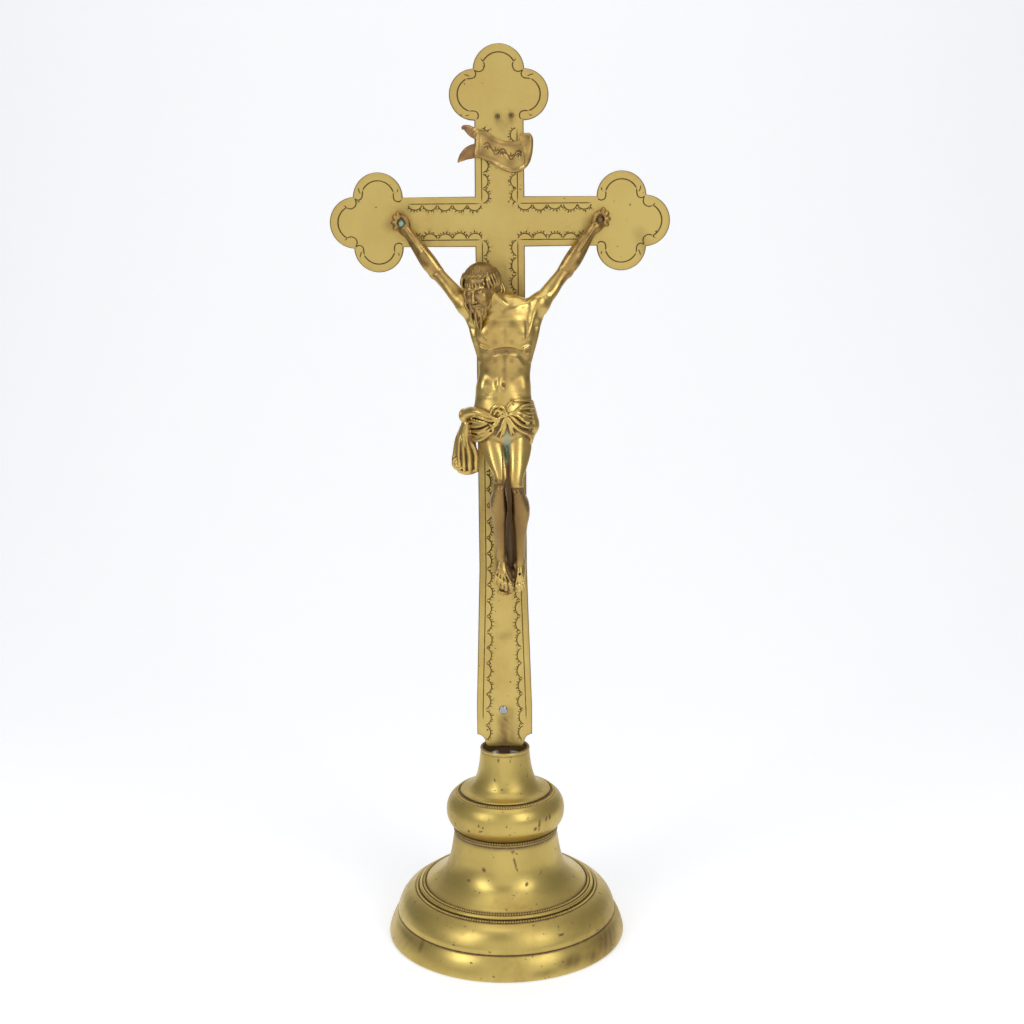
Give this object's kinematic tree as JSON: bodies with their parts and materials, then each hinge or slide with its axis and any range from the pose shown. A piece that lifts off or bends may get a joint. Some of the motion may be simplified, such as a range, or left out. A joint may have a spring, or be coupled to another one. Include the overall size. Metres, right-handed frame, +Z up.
{
  "type": "altar crucifix",
  "caption": "Brass altar crucifix: cast figure and title scroll on an engraved sheet cross with three-lobed ends, tie-rodded to a round turned foot of spun shells.",
  "frame": {"origin": "middle of the foot's underside, on the surface it stands on", "axes": "+Z up along the upright, the figure faces -Y, +X to the viewer's right"},
  "size_m": [0.1606, 0.12, 0.439],
  "materials": {
    "spun_brass": "satin, lathe polished, spotted with tarnish",
    "sheet_brass": "dull satin, engraved, browned in patches",
    "cast_brass": "polished high points, brown recesses",
    "iron": "dull, lightly rusted",
    "white_metal": "bright",
    "solder": "dull grey"
  },
  "bodies": {
    "base": {"foot_shell": "spun_brass", "waist_shell": "spun_brass", "knop_shell": "spun_brass", "neck_socket": "spun_brass", "neck_disc": "spun_brass", "solder_fillet": "solder"},
    "cross": {"tie_rod": "iron", "cross_plate": "sheet_brass", "tang_rivet": "white_metal", "titulus": "cast_brass", "pin_plug_left": "sheet_brass", "pin_plug_right": "sheet_brass", "corpus": "cast_brass", "hand_nail_left": "cast_brass", "hand_nail_right": "cast_brass", "nail_nut_left": "cast_brass", "nail_nut_right": "cast_brass", "feet_screw": "cast_brass"},
    "clamp": {"clamp_bar": "iron", "nut_washer": "iron"},
    "nut": {"clamp_nut": "iron"}
  },
  "joints": [
    {"name": "cross_turn", "type": "hinge", "parent": "base", "child": "cross", "pos_m": [0, 0, 0.088], "axis": [0, 0, 1], "continuous": true},
    {"name": "clamp_drop", "type": "slide", "parent": "cross", "child": "clamp", "axis": [0, 0, -1], "range_m": [0, 0.004]},
    {"name": "nut_turn", "type": "hinge", "parent": "clamp", "child": "nut", "pos_m": [0, 0, 0.016], "axis": [0, 0, -1], "range_deg": [0, 1440]}
  ],
  "couplings": [
    {"joint": "nut_turn", "follows": "clamp_drop", "rad_per_m": 6283}
  ]
}
